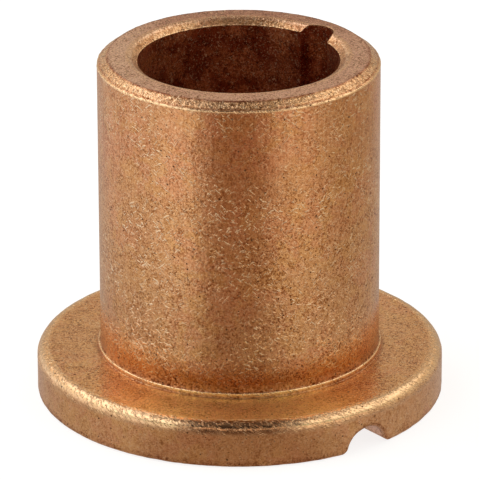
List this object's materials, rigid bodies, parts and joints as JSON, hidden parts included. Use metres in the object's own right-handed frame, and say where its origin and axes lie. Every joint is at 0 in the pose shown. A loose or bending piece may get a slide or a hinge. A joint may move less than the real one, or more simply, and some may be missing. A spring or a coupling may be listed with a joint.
{
  "type": "flanged sleeve bushing",
  "caption": "Flanged sleeve bushing of porous sintered bronze, with a half-round oil groove along the bore and another across the flange's thrust face.",
  "frame": {"origin": "on the bore's axis, in the plane of the flange's thrust face", "axes": "+Z along the bore from the flange to the nose; the oil groove of the bore lies at 40.2 degrees from +X towards +Y, and the oil groove of the thrust face at -51.8 degrees"},
  "size_m": [0.0324, 0.0324, 0.0281],
  "materials": {
    "sintered_bronze": "fine-grained porous sintered bronze, satin where the sizing die has ironed it, slightly oily"
  },
  "bodies": {
    "root": {"flanged_bushing": "sintered_bronze"}
  },
  "joints": []
}
